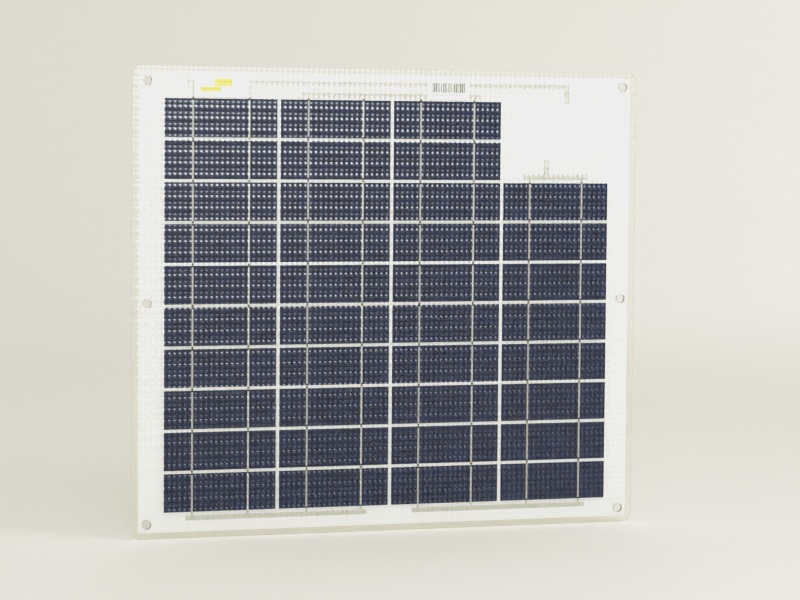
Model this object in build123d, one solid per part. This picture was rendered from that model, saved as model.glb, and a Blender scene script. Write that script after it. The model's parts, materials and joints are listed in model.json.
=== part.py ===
from build123d import *
import os

# A semi-flexible solar panel: a flat laminate with 38 cells in four strings, six
# mounting holes and a junction box bonded to its back. Millimetres, +Z up. The front
# faces -Y and the back face lies in the plane y = 0. The origin is the centre of the
# mounting hole pattern on the back face.

# --- laminate outline -------------------------------------------------------------
PANEL_WIDTH = 580.0
PANEL_HEIGHT = 511.0
PANEL_CORNER = 9.0
HOLE_RADIUS = 5.0
HOLE_INSET = 16.0
BOARD_INSET = 6.8
BOARD_CORNER = 3.0

# --- laminate layers, as depths along Y from the front to the back face ------------
FRONT_FACE = -4.0
FRONT_SHEET_BACK = -2.6
CELL_LAYER_FRONT = -2.2
CELL_LAYER_BACK = -1.7
BOARD_FRONT = -1.5
BOARD_BACK = -0.5
BACK_FACE = 0.0

# --- cells and their wiring -----------------------------------------------------
CELL_WIDTH = 125.0
CELL_HEIGHT = 125.0 / 3
CELL_THICK = 0.2
COLUMN_PITCH = 129.0
ROW_PITCH = 45.17
ROWS = 10
FIRST_ROWS = (0, 0, 0, 2)
GRID_CENTRE_X = 1.0
GRID_CENTRE_Z = -3.05
RIBBON_WIDTH = 2.0
RIBBON_THICK = 0.15
RIBBON_OFFSET = CELL_WIDTH / 4
POCKET_CLEARANCE = 0.2
BUS_WIDTH = 5.2
BUS_OVERHANG = 7.0
UPPER_BUS_Z = 238.9
INNER_BUS_Z = 226.6
BOTTOM_BUS_Z = -234.0
NEGATIVE_BUS_Z = 137.8
POSITIVE_TAIL_X = 207.1
NEGATIVE_TAIL_X = 183.3
FOIL_THICK = 0.15
PLAIN_LABEL = (-192.5, 235.1, 60.0, 25.0)
CODE_LABEL = (66.4, 233.1, 48.0, 20.4)
PATCH = (194.5, 188.6, 93.0, 62.2)

# --- junction box ---------------------------------------------------------------
BOX_X = 193.0
BOX_Z = 190.0
BOX_WIDTH = 96.0
BOX_HEIGHT = 62.0
BOX_CORNER = 5.0
BOX_WALL = 2.6
BOX_BACK = 0.8
BOX_FLOOR = 2.8
BOX_RIM = 19.8
LID_FACE = 23.0
LID_EDGE = 1.2
LIP_GAP = 0.3
LIP_WALL = 1.4
LIP_DEPTH = 1.4
GROOVE_WIDTH = 1.2
GROOVE_DEPTH = 0.8
TAB_WIDTH = 24.0
TAB_REACH = 2.6

# --- lid hinge ------------------------------------------------------------------
PIN_RADIUS = 1.0
PIN_CLEARANCE = 0.03
PIN_HEAD_RADIUS = 1.8
PIN_HEAD = 0.8
KNUCKLE_RADIUS = 2.6
HINGE_STANDOFF = 3.0
HINGE_RISE = 0.4
BASE_KNUCKLE = 8.0
LID_KNUCKLE = 13.6
KNUCKLE_GAP = 0.4
WEB_THICK = 2.0

# --- ribbon feed-through and terminals ----------------------------------------------
LEG_OFFSET = 15.1
SLOT_LENGTH = 6.4
SLOT_WIDTH = 1.2
RAIL_OFFSET = 10.0
RAIL_WIDTH = 7.0
RAIL_BACK = 8.0
RAIL_THICK = 1.5
RAIL_END_X = 229.0
RAIL_LEAD = 4.2
CARRIER_WIDTH = 8.0
CARRIER_MARGIN = 2.0
CLAMP_X = 225.0
PLATE_SIZE = 6.8
PLATE_THICK = 1.2
SCREW_RADIUS = 1.5
SCREW_HEAD_RADIUS = 2.7
SCREW_HEAD = 2.0
SCREW_DEPTH = 5.0
SCREW_SLOT = (0.7, 0.9)
FOOT_END = 2.0
DIODE_X = 216.0
DIODE_Y = 12.8
DIODE_RADIUS = 2.6
DIODE_LENGTH = 9.0
LEAD_RADIUS = 0.5

# --- cable glands -----------------------------------------------------------------
GLAND_Y = 10.6
GLAND_STEM_RADIUS = 6.0
GLAND_NECK_RADIUS = 5.5
GLAND_BORE = 3.5
SEAL_SEAT_RADIUS = 4.25
SEAL_RADIUS = 4.2
CABLE_RADIUS = 3.0
HEX_ACROSS = 14.0
LOCKNUT_ACROSS = 15.0
LOCKNUT_THICK = 2.5
RING_THICK = 0.8
FLANGE_THICK = 2.7
NECK_LENGTH = 5.6
INNER_STEM = 5.0
NUT_HEX = 4.2
NUT_LENGTH = 7.2
NUT_MOUTH = 3.4
NUT_NOSE_RADIUS = 6.6
NUT_EDGE = 1.6
SEAL_LENGTH = 4.6
THREAD_GAP = 0.1

# --- worked out from the dimensions above ---------------------------------------------
CELL_FRONT = CELL_LAYER_FRONT + RIBBON_THICK
CELL_BACK = CELL_FRONT + CELL_THICK
FOIL_BACK = CELL_LAYER_FRONT + FOIL_THICK
RAIL_TOP = RAIL_BACK + RAIL_THICK
HINGE_Y = BOX_RIM + HINGE_RISE
HINGE_Z = BOX_Z + BOX_HEIGHT / 2 + HINGE_STANDOFF
WALL_X = BOX_X + BOX_WIDTH / 2
POSITIVE_LEG_Z = BOX_Z + LEG_OFFSET
NEGATIVE_LEG_Z = BOX_Z - LEG_OFFSET
RAIL_ZS = {"positive": BOX_Z + RAIL_OFFSET, "negative": BOX_Z - RAIL_OFFSET}
GLAND_ZS = {"upper": BOX_Z + RAIL_OFFSET, "lower": BOX_Z - RAIL_OFFSET}
TAIL_XS = {"positive": POSITIVE_TAIL_X, "negative": NEGATIVE_TAIL_X}


# --- helpers ----------------------------------------------------------------------
def along_y(sketch, y_start, y_end):
    """Solid of a sketch seen from the front (x, z), between two depths."""
    return extrude(Plane.XZ.offset(-y_end) * sketch, amount=y_end - y_start)


def along_x(sketch, x_start, x_end):
    """Solid of a sketch drawn in (y, z), between two places along X."""
    return extrude(Plane.YZ.offset(x_start) * sketch, amount=x_end - x_start, dir=(1, 0, 0))


def along_z(sketch, z_start, z_end):
    """Solid of a sketch drawn in (x, y), between two heights."""
    return extrude(Plane.XY.offset(z_start) * sketch, amount=z_end - z_start)


def block(x_range, y_range, z_range):
    """Box between two places along each axis."""
    sketch = Pos(sum(x_range) / 2, sum(z_range) / 2) * Rectangle(
        x_range[1] - x_range[0], z_range[1] - z_range[0]
    )
    return along_y(sketch, *y_range)


def hexagon(across):
    """Hexagon across X with the given distance between flats, its flats facing Y."""
    return RegularPolygon(across / 3**0.5, 6, rotation=30)


def group(solids):
    """Separate solids kept together in one node."""
    return Compound(list(solids))


def save(node, shape):
    """Write one node's STEP file."""
    shape.label = node
    export_step(shape, f"parts/{node}.step")


# --- laminate ---------------------------------------------------------------------
def hole_places():
    """Centres of the four corner holes and the two middle ones."""
    half_x = PANEL_WIDTH / 2 - HOLE_INSET
    half_z = PANEL_HEIGHT / 2 - HOLE_INSET
    return [(x, z) for x in (-half_x, half_x) for z in (-half_z, 0, half_z)]


def sheet_outline(width, height, corner):
    """Rounded rectangle with the six mounting holes."""
    outline = RectangleRounded(width, height, corner)
    return outline - [Pos(x, z) * Circle(HOLE_RADIUS) for x, z in hole_places()]


def panel_outline():
    """Full outline of the laminate."""
    return sheet_outline(PANEL_WIDTH, PANEL_HEIGHT, PANEL_CORNER)


def board_outline():
    """Outline of the white board, which stops short of the laminate's edge."""
    return sheet_outline(
        PANEL_WIDTH - 2 * BOARD_INSET, PANEL_HEIGHT - 2 * BOARD_INSET, BOARD_CORNER
    )


def feed_slots():
    """Slots that let the two ribbon ends through to the junction box."""
    slot = Rectangle(SLOT_LENGTH, SLOT_WIDTH)
    places = ((POSITIVE_TAIL_X, POSITIVE_LEG_Z), (NEGATIVE_TAIL_X, NEGATIVE_LEG_Z))
    return [Pos(x, z) * slot for x, z in places]


def flat_rectangle(place):
    """Rectangle given as centre x, centre z, width and height."""
    x, z, width, height = place
    return Pos(x, z) * Rectangle(width, height)


def column_x(column):
    """Centre of a string of cells."""
    return GRID_CENTRE_X + (column - 1.5) * COLUMN_PITCH


def row_z(row):
    """Centre of a row of cells, counted from the top."""
    return GRID_CENTRE_Z + ((ROWS - 1) / 2 - row) * ROW_PITCH


def ribbon_xs(column):
    """The two ribbons that run down a string."""
    return (column_x(column) - RIBBON_OFFSET, column_x(column) + RIBBON_OFFSET)


def string_cells(column):
    """The cells of one string, as separate solids."""
    cell = Rectangle(CELL_WIDTH, CELL_HEIGHT)
    rows = range(FIRST_ROWS[column], ROWS)
    return [along_y(Pos(column_x(column), row_z(r)) * cell, CELL_FRONT, CELL_BACK) for r in rows]


def link_profile(front_z, back_z, turn_z, next_z):
    """Ribbon from the front of one cell, through the gap, to the back of the next."""
    return Polygon(
        (CELL_LAYER_FRONT, front_z),
        (CELL_FRONT, front_z),
        (CELL_FRONT, turn_z),
        (CELL_LAYER_BACK, next_z),
        (CELL_LAYER_BACK, back_z),
        (CELL_BACK, back_z),
        (CELL_BACK, next_z),
        (CELL_LAYER_FRONT, turn_z),
        align=None,
    )


def string_ribbons(column, top_bus_z, bottom_bus_z):
    """Both ribbons of one string. Even strings run down, odd ones run up, so the
    front ribbon of each cell reaches the back of the next cell along the string."""
    down = column % 2 == 0
    rows = list(range(FIRST_ROWS[column], ROWS))
    order = rows if down else rows[::-1]
    ahead = -1 if down else 1
    half = CELL_HEIGHT / 2
    end_margin = 1.5
    turn = 0.6
    start_bus = top_bus_z if down else bottom_bus_z
    end_bus = bottom_bus_z if down else top_bus_z
    profiles = []
    for row, following in zip(order, order[1:]):
        z, next_z = row_z(row), row_z(following)
        profiles.append(
            link_profile(
                z - ahead * (half - end_margin),
                next_z + ahead * (half - end_margin),
                z + ahead * (half + turn),
                next_z - ahead * (half + turn),
            )
        )
    first_far = row_z(order[0]) + ahead * (half - end_margin)
    start_end = start_bus - ahead * BUS_WIDTH / 2
    profiles.append(strip_profile(CELL_BACK, CELL_LAYER_BACK, start_end, first_far))
    last_far = row_z(order[-1]) - ahead * (half - end_margin)
    finish_end = end_bus + ahead * BUS_WIDTH / 2
    profiles.append(strip_profile(CELL_LAYER_FRONT, CELL_FRONT, last_far, finish_end))
    solids = []
    for x in ribbon_xs(column):
        for profile in profiles:
            solids.append(along_x(profile, x - RIBBON_WIDTH / 2, x + RIBBON_WIDTH / 2))
    return solids


def strip_profile(y_front, y_back, z_a, z_b):
    """Straight ribbon's section between two heights."""
    return Pos((y_front + y_back) / 2, (z_a + z_b) / 2) * Rectangle(y_back - y_front, abs(z_b - z_a))


def bus_sketch(x_left, x_right, z):
    """Cross ribbon seen from the front."""
    return Pos((x_left + x_right) / 2, z) * Rectangle(x_right - x_left, BUS_WIDTH)


def tail_sketch(x, z_bus, z_leg):
    """Ribbon from a cross ribbon to its feed-through slot, seen from the front."""
    return Pos(x, (z_bus + z_leg) / 2) * Rectangle(BUS_WIDTH, abs(z_bus - z_leg))


def plain_bus(x_left, x_right, z):
    """Cross ribbon that joins two strings."""
    return along_y(bus_sketch(x_left, x_right, z), CELL_FRONT, CELL_BACK)


def fed_bus(x_left, x_right, z, tail_x, leg_z, rail_z):
    """Cross ribbon whose tail goes back through the board to a terminal rail."""
    away = 1 if leg_z > rail_z else -1
    outer = leg_z + away * CELL_THICK
    strip = plain_bus(x_left, x_right, z)
    tail = along_y(tail_sketch(tail_x, z, leg_z), CELL_FRONT, CELL_BACK)
    sides = (tail_x - BUS_WIDTH / 2, tail_x + BUS_WIDTH / 2)
    leg = block(sides, (CELL_FRONT, RAIL_TOP + CELL_THICK), sorted((leg_z, outer)))
    foot_ends = sorted((outer, rail_z + away * FOOT_END))
    foot = block(sides, (RAIL_TOP, RAIL_TOP + CELL_THICK), foot_ends)
    return strip + tail + leg + foot


def cell_pockets():
    """Openings in the rear film for the cells, their ribbons and the cross ribbons."""
    wide = 2 * POCKET_CLEARANCE
    cell = Rectangle(CELL_WIDTH + wide, CELL_HEIGHT + wide)
    pockets = [
        Pos(column_x(column), row_z(row)) * cell
        for column, first in enumerate(FIRST_ROWS)
        for row in range(first, ROWS)
    ]
    for column in range(len(FIRST_ROWS)):
        top, bottom = string_ends(column)
        lane = Rectangle(RIBBON_WIDTH + wide, top - bottom + BUS_WIDTH + wide)
        pockets += [Pos(x, (top + bottom) / 2) * lane for x in ribbon_xs(column)]
    grown = BUS_WIDTH + wide
    for x_left, x_right, z in BUSES.values():
        strip = Rectangle(x_right - x_left + wide, grown)
        pockets.append(Pos((x_left + x_right) / 2, z) * strip)
    for name, leg_z in (("positive", POSITIVE_LEG_Z), ("negative", NEGATIVE_LEG_Z)):
        bus_z = BUSES[name][2]
        tail = Rectangle(grown, abs(bus_z - leg_z) + SLOT_WIDTH)
        pockets.append(Pos(TAIL_XS[name], (bus_z + leg_z) / 2) * tail)
    return pockets


def string_ends(column):
    """Heights of the cross ribbons above and below a string."""
    top = (UPPER_BUS_Z, INNER_BUS_Z, INNER_BUS_Z, NEGATIVE_BUS_Z)[column]
    return top, BOTTOM_BUS_Z


def bus_ends(first_column, last_column):
    """Left and right ends of a cross ribbon over the given strings."""
    return (
        ribbon_xs(first_column)[0] - BUS_OVERHANG,
        ribbon_xs(last_column)[1] + BUS_OVERHANG,
    )


BUSES = {
    "positive": (bus_ends(0, 0)[0], POSITIVE_TAIL_X + BUS_WIDTH / 2, UPPER_BUS_Z),
    "left": (*bus_ends(0, 1), BOTTOM_BUS_Z),
    "middle": (*bus_ends(1, 2), INNER_BUS_Z),
    "right": (*bus_ends(2, 3), BOTTOM_BUS_Z),
    "negative": (*bus_ends(3, 3), NEGATIVE_BUS_Z),
}


def rear_film():
    """Clear film behind the cells, which also fills the rim around the board."""
    film = along_y(panel_outline(), CELL_LAYER_FRONT, BOARD_BACK)
    film -= along_y(Sketch() + cell_pockets(), CELL_LAYER_FRONT, CELL_LAYER_BACK)
    foils = [flat_rectangle(place) for place in (PLAIN_LABEL, CODE_LABEL, PATCH)]
    film -= [along_y(foil, CELL_LAYER_FRONT, FOIL_BACK) for foil in foils]
    board_seat = RectangleRounded(
        PANEL_WIDTH - 2 * BOARD_INSET, PANEL_HEIGHT - 2 * BOARD_INSET, BOARD_CORNER
    )
    film -= along_y(board_seat, BOARD_FRONT, BOARD_BACK)
    return film - [along_y(slot, CELL_LAYER_FRONT, BOARD_BACK) for slot in feed_slots()]


def save_laminate():
    """Sheets, films, board, cells, ribbons and labels."""
    save("front_sheet", along_y(panel_outline(), FRONT_FACE, FRONT_SHEET_BACK))
    save("front_film", along_y(panel_outline(), FRONT_SHEET_BACK, CELL_LAYER_FRONT))
    save("rear_film", rear_film())
    save("white_board", along_y(board_outline() - feed_slots(), BOARD_FRONT, BOARD_BACK))
    save("back_sheet", along_y(panel_outline() - feed_slots(), BOARD_BACK, BACK_FACE))
    for column in range(len(FIRST_ROWS)):
        save(f"cell_string_{column + 1}", group(string_cells(column)))
        save(f"cell_ribbons_{column + 1}", group(string_ribbons(column, *string_ends(column))))
    positive = (POSITIVE_TAIL_X, POSITIVE_LEG_Z, RAIL_ZS["positive"])
    negative = (NEGATIVE_TAIL_X, NEGATIVE_LEG_Z, RAIL_ZS["negative"])
    save("positive_bus", fed_bus(*BUSES["positive"], *positive))
    save("negative_bus", fed_bus(*BUSES["negative"], *negative))
    save("left_bus", plain_bus(*BUSES["left"]))
    save("middle_bus", plain_bus(*BUSES["middle"]))
    save("right_bus", plain_bus(*BUSES["right"]))
    save("plain_label", along_y(flat_rectangle(PLAIN_LABEL), CELL_LAYER_FRONT, FOIL_BACK))
    save("code_label", along_y(flat_rectangle(CODE_LABEL), CELL_LAYER_FRONT, FOIL_BACK))
    save("cover_patch", along_y(flat_rectangle(PATCH), CELL_LAYER_FRONT, FOIL_BACK))


# --- junction box -------------------------------------------------------------------
def box_outline(inset, corner):
    """Outline of the junction box, drawn in by the given amount."""
    return Pos(BOX_X, BOX_Z) * RectangleRounded(
        BOX_WIDTH - 2 * inset, BOX_HEIGHT - 2 * inset, corner
    )


def ring_outline(inset, width):
    """Closed band that follows the junction box outline."""
    outer = box_outline(inset, BOX_CORNER - inset)
    return outer - box_outline(inset + width, max(BOX_CORNER - inset - width, 0.6))


def knuckle_spans():
    """Stretches of the hinge along X: base, lid, base, lid, base."""
    lengths = (BASE_KNUCKLE, LID_KNUCKLE, BASE_KNUCKLE, LID_KNUCKLE, BASE_KNUCKLE)
    start = BOX_X - (sum(lengths) + KNUCKLE_GAP * (len(lengths) - 1)) / 2
    spans = []
    for length in lengths:
        spans.append((start, start + length))
        start += length + KNUCKLE_GAP
    return spans


def knuckle(span, web_y):
    """One hinge knuckle with the web that joins it to its part."""
    barrel = along_x(Pos(HINGE_Y, HINGE_Z) * Circle(KNUCKLE_RADIUS), *span)
    wall_z = BOX_Z + BOX_HEIGHT / 2
    return barrel + block(span, web_y, (wall_z - BOX_CORNER / 2, HINGE_Z))


def hinge_bore():
    """The pin's hole through every knuckle."""
    spans = knuckle_spans()
    hole = Pos(HINGE_Y, HINGE_Z) * Circle(PIN_RADIUS + PIN_CLEARANCE)
    return along_x(hole, spans[0][0], spans[-1][1])


def on_gland_axis(sketch, x_start, x_end, gland_z):
    """Solid of a sketch centred on a gland's axis."""
    return along_x(Pos(GLAND_Y, gland_z) * sketch, x_start, x_end)


def box_base():
    """Tray with a gasket groove, hinge knuckles and two cable gland holes."""
    base = along_y(box_outline(0, BOX_CORNER), BOX_BACK, BOX_RIM)
    base -= along_y(box_outline(BOX_WALL, BOX_CORNER - BOX_WALL), BOX_FLOOR, BOX_RIM)
    groove_inset = (BOX_WALL - GROOVE_WIDTH) / 2
    base -= along_y(ring_outline(groove_inset, GROOVE_WIDTH), BOX_RIM - GROOVE_DEPTH, BOX_RIM)
    base -= [along_y(slot, BOX_BACK, BOX_FLOOR) for slot in feed_slots()]
    stem_hole = Circle(GLAND_STEM_RADIUS + THREAD_GAP)
    wall = (WALL_X - BOX_WALL, WALL_X)
    base -= [on_gland_axis(stem_hole, *wall, z) for z in GLAND_ZS.values()]
    web_y = (HINGE_Y - KNUCKLE_RADIUS, HINGE_Y - KNUCKLE_RADIUS + WEB_THICK)
    for span in knuckle_spans()[::2]:
        arm = knuckle(span, web_y)
        arm -= along_y(box_outline(BOX_WALL, BOX_CORNER - BOX_WALL), BOX_FLOOR, LID_FACE)
        arm -= along_y(ring_outline(groove_inset, GROOVE_WIDTH), BOX_RIM - GROOVE_DEPTH, LID_FACE)
        base += arm
    return base - hinge_bore()


def box_lid():
    """Cover with a locating lip, a finger tab and two hinge knuckles."""
    plate = along_y(box_outline(0, BOX_CORNER), BOX_RIM, LID_FACE)
    tab_z = BOX_Z - BOX_HEIGHT / 2
    half_tab = TAB_WIDTH / 2
    plate += block(
        (BOX_X - half_tab, BOX_X + half_tab), (BOX_RIM, LID_FACE), (tab_z - TAB_REACH, tab_z)
    )
    plate = fillet(plate.faces().sort_by(Axis.Y)[-1].edges(), LID_EDGE)
    plate += along_y(ring_outline(BOX_WALL + LIP_GAP, LIP_WALL), BOX_RIM - LIP_DEPTH, BOX_RIM)
    web_y = (BOX_RIM, BOX_RIM + WEB_THICK)
    for span in knuckle_spans()[1::2]:
        plate += knuckle(span, web_y)
    return plate - hinge_bore()


def hinge_pin():
    """Headed pin through all five knuckles."""
    spans = knuckle_spans()
    ends = (spans[0][0], spans[-1][1])
    shank = along_x(Pos(HINGE_Y, HINGE_Z) * Circle(PIN_RADIUS), ends[0], ends[1] + PIN_HEAD)
    heads = along_x(Pos(HINGE_Y, HINGE_Z) * Circle(PIN_HEAD_RADIUS), ends[0] - PIN_HEAD, ends[0])
    return shank + heads


def lid_gasket():
    """Seal that fills the groove in the base's rim."""
    inset = (BOX_WALL - GROOVE_WIDTH) / 2
    return along_y(ring_outline(inset, GROOVE_WIDTH), BOX_RIM - GROOVE_DEPTH, BOX_RIM)


def bond_pad():
    """Adhesive pad between the back sheet and the junction box."""
    pad = along_y(box_outline(0, BOX_CORNER), BACK_FACE, BOX_BACK)
    return pad - [along_y(slot, BACK_FACE, BOX_BACK) for slot in feed_slots()]


def rail_span(name):
    """Ends of a terminal rail along X."""
    return (TAIL_XS[name] - RAIL_LEAD, RAIL_END_X)


def screw_places():
    """Centres of the four terminal screws."""
    tails = [(TAIL_XS[name], RAIL_ZS[name]) for name in RAIL_ZS]
    return tails + [(CLAMP_X, z) for z in RAIL_ZS.values()]


def screw_holes(gap, y_start, y_end):
    """Holes for the terminal screws."""
    hole = Circle(SCREW_RADIUS + gap)
    return [along_y(Pos(x, z) * hole, y_start, y_end) for x, z in screw_places()]


def terminal_rail(name):
    """Brass bar that joins a panel ribbon to a cable core."""
    half = RAIL_WIDTH / 2
    z = RAIL_ZS[name]
    bar = block(rail_span(name), (RAIL_BACK, RAIL_TOP), (z - half, z + half))
    return bar - screw_holes(THREAD_GAP, RAIL_BACK, RAIL_TOP)


def terminal_carrier():
    """Insulating block that both rails lie on."""
    half = CARRIER_WIDTH / 2
    depth = (BOX_FLOOR, RAIL_BACK)
    carrier = block(
        (DIODE_X - half, DIODE_X + half), depth, (RAIL_ZS["negative"], RAIL_ZS["positive"])
    )
    for name, z in RAIL_ZS.items():
        start, end = rail_span(name)
        span = (start - CARRIER_MARGIN, end + CARRIER_MARGIN)
        carrier += block(span, depth, (z - half, z + half))
    return carrier - screw_holes(THREAD_GAP, RAIL_TOP - SCREW_DEPTH, RAIL_BACK)


def plate_seats():
    """Terminal screw places with the height that each clamp plate sits at."""
    for x, z in screw_places():
        on_ribbon = x in TAIL_XS.values()
        yield x, z, RAIL_TOP + (CELL_THICK if on_ribbon else 0)


def clamp_plates():
    """Square washers under the terminal screws."""
    square = RectangleRounded(PLATE_SIZE, PLATE_SIZE, 0.8) - Circle(SCREW_RADIUS + THREAD_GAP)
    return [along_y(Pos(x, z) * square, seat, seat + PLATE_THICK) for x, z, seat in plate_seats()]


def terminal_screws():
    """Slotted pan-head screws."""
    screws = []
    slot_width, slot_depth = SCREW_SLOT
    for x, z, seat in plate_seats():
        under_head = seat + PLATE_THICK
        top = under_head + SCREW_HEAD
        head = along_y(Pos(x, z) * Circle(SCREW_HEAD_RADIUS), under_head, top)
        head = fillet(head.faces().sort_by(Axis.Y)[-1].edges(), 0.6)
        shank = along_y(Pos(x, z) * Circle(SCREW_RADIUS), RAIL_TOP - SCREW_DEPTH, under_head)
        slot = Pos(x, z) * Rectangle(3 * SCREW_HEAD_RADIUS, slot_width)
        screws.append(head + shank - along_y(slot, top - slot_depth, top))
    return screws


def bypass_diode():
    """Axial diode across the two rails."""
    low, high = RAIL_ZS["negative"], RAIL_ZS["positive"]
    half = DIODE_LENGTH / 2
    body = along_z(Pos(DIODE_X, DIODE_Y) * Circle(DIODE_RADIUS), BOX_Z - half, BOX_Z + half)
    lead = along_z(Pos(DIODE_X, DIODE_Y) * Circle(LEAD_RADIUS), low, high)
    feet = [
        along_y(Pos(DIODE_X, z) * Circle(LEAD_RADIUS), RAIL_TOP, DIODE_Y) for z in (low, high)
    ]
    elbows = [Pos(DIODE_X, DIODE_Y, z) * Sphere(LEAD_RADIUS) for z in (low, high)]
    return body + lead + feet + elbows


# --- cable glands ---------------------------------------------------------------------
def flange_x():
    """Where a gland's flange starts and ends."""
    return (WALL_X + RING_THICK, WALL_X + RING_THICK + FLANGE_THICK)


def gland_body(gland_z):
    """Threaded stem through the wall, hexagon flange and outer neck."""
    start, end = flange_x()
    inner_end = WALL_X - BOX_WALL - INNER_STEM
    stem = on_gland_axis(Circle(GLAND_STEM_RADIUS), inner_end, start, gland_z)
    flange = on_gland_axis(hexagon(HEX_ACROSS), start, end, gland_z)
    neck = on_gland_axis(Circle(GLAND_NECK_RADIUS), end, end + NECK_LENGTH, gland_z)
    seat = on_gland_axis(
        Circle(SEAL_SEAT_RADIUS), end + NECK_LENGTH - SEAL_LENGTH, end + NECK_LENGTH, gland_z
    )
    bore = on_gland_axis(Circle(GLAND_BORE), inner_end, end + NECK_LENGTH, gland_z)
    return stem + flange + neck - bore - seat


def gland_seal(gland_z):
    """Rubber sleeve that grips the cable."""
    end = flange_x()[1] + NECK_LENGTH
    ring = Circle(SEAL_RADIUS) - Circle(CABLE_RADIUS)
    return on_gland_axis(ring, end - SEAL_LENGTH, end, gland_z)


def gland_nut(gland_z):
    """Dome nut that squeezes the seal."""
    start = flange_x()[1] + THREAD_GAP
    nut = on_gland_axis(hexagon(HEX_ACROSS), start, start + NUT_HEX, gland_z)
    nose = on_gland_axis(Circle(NUT_NOSE_RADIUS), start + NUT_HEX, start + NUT_LENGTH, gland_z)
    nose = fillet(nose.faces().sort_by(Axis.X)[-1].edges(), NUT_EDGE)
    inside = on_gland_axis(
        Circle(GLAND_NECK_RADIUS + THREAD_GAP), start, start + NECK_LENGTH, gland_z
    )
    mouth = on_gland_axis(Circle(NUT_MOUTH), start, start + NUT_LENGTH, gland_z)
    return nut + nose - inside - mouth


def locknuts():
    """Hexagon nuts that hold the glands, inside the box."""
    end = WALL_X - BOX_WALL
    shape = hexagon(LOCKNUT_ACROSS) - Circle(GLAND_STEM_RADIUS + THREAD_GAP)
    return [on_gland_axis(shape, end - LOCKNUT_THICK, end, z) for z in GLAND_ZS.values()]


def sealing_rings():
    """Flat rings between the gland flanges and the box wall."""
    shape = Circle(HEX_ACROSS / 2) - Circle(GLAND_STEM_RADIUS + THREAD_GAP)
    return [on_gland_axis(shape, WALL_X, WALL_X + RING_THICK, z) for z in GLAND_ZS.values()]


def save_junction_box():
    """Box, lid, hinge, terminals and cable glands."""
    save("bond_pad", bond_pad())
    save("box_base", box_base())
    save("box_lid", box_lid())
    save("hinge_pin", hinge_pin())
    save("lid_gasket", lid_gasket())
    save("terminal_carrier", terminal_carrier())
    for name in RAIL_ZS:
        save(f"{name}_rail", terminal_rail(name))
    save("clamp_plates", group(clamp_plates()))
    save("terminal_screws", group(terminal_screws()))
    save("bypass_diode", bypass_diode())
    for name, gland_z in GLAND_ZS.items():
        save(f"{name}_gland_body", gland_body(gland_z))
        save(f"{name}_gland_seal", gland_seal(gland_z))
        save(f"{name}_gland_nut", gland_nut(gland_z))
    save("gland_locknuts", group(locknuts()))
    save("gland_sealing_rings", group(sealing_rings()))


os.makedirs("parts", exist_ok=True)
save_laminate()
save_junction_box()
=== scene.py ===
import json
import math
import random

import bmesh
import bpy
import numpy as np
from mathutils import Matrix, Vector
from mathutils.geometry import delaunay_2d_cdt


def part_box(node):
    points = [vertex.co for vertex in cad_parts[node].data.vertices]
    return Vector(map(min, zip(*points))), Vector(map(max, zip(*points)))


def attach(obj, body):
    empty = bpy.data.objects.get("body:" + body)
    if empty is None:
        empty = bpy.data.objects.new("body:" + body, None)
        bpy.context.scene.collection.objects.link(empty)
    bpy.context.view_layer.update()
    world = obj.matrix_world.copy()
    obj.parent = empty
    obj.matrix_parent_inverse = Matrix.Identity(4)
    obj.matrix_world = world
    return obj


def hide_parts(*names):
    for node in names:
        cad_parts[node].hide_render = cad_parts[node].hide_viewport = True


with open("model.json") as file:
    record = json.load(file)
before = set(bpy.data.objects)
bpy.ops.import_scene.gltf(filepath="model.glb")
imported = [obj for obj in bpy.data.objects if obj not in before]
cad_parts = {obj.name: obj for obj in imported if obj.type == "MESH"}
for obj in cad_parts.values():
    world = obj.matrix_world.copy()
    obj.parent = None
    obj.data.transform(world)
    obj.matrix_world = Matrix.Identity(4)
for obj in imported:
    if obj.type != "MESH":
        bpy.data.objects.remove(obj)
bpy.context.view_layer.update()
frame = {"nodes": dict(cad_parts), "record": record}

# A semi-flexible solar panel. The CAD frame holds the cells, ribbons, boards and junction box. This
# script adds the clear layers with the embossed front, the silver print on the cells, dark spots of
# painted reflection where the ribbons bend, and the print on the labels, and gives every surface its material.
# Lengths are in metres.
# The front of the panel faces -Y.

MM = 0.001

# ---------------------------------------------------------------- places taken from the frame

SHEET_LOW, SHEET_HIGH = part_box("front_sheet")
BOARD_LOW, BOARD_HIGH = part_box("white_board")
FILM_LOW, FILM_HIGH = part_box("front_film")
BACK_LOW, BACK_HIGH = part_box("back_sheet")
CELLS = [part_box(f"cell_string_{n}") for n in (1, 2, 3, 4)]
LABELS = [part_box("plain_label"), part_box("code_label")]
CREST_Y = SHEET_LOW.y
SHEET_BACK_Y = SHEET_HIGH.y
FLOOR_Z = SHEET_LOW.z

# The same driving sizes as the CAD part has.
CORNER_RADIUS = 9 * MM
BOARD_RADIUS = 3 * MM
HOLE_INSET = 16 * MM
HOLE_RADIUS = 5 * MM
HOLE_POINTS = 40
CELL_HEIGHT = 41.667 * MM
ROW_PITCH = 45.17 * MM
RIBBON_OFFSET = 31.25 * MM
FILM_BEFORE_BOARD = 0.36 * MM  # thickness of the clear film in front of the board
AIR = 0.02 * MM  # keeps two clear surfaces from lying in one plane
PRINT_PROUD = 0.015 * MM  # how far label print stands out from its label
PRINT_SUNK = 0.02 * MM  # how far it reaches into the label

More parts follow.
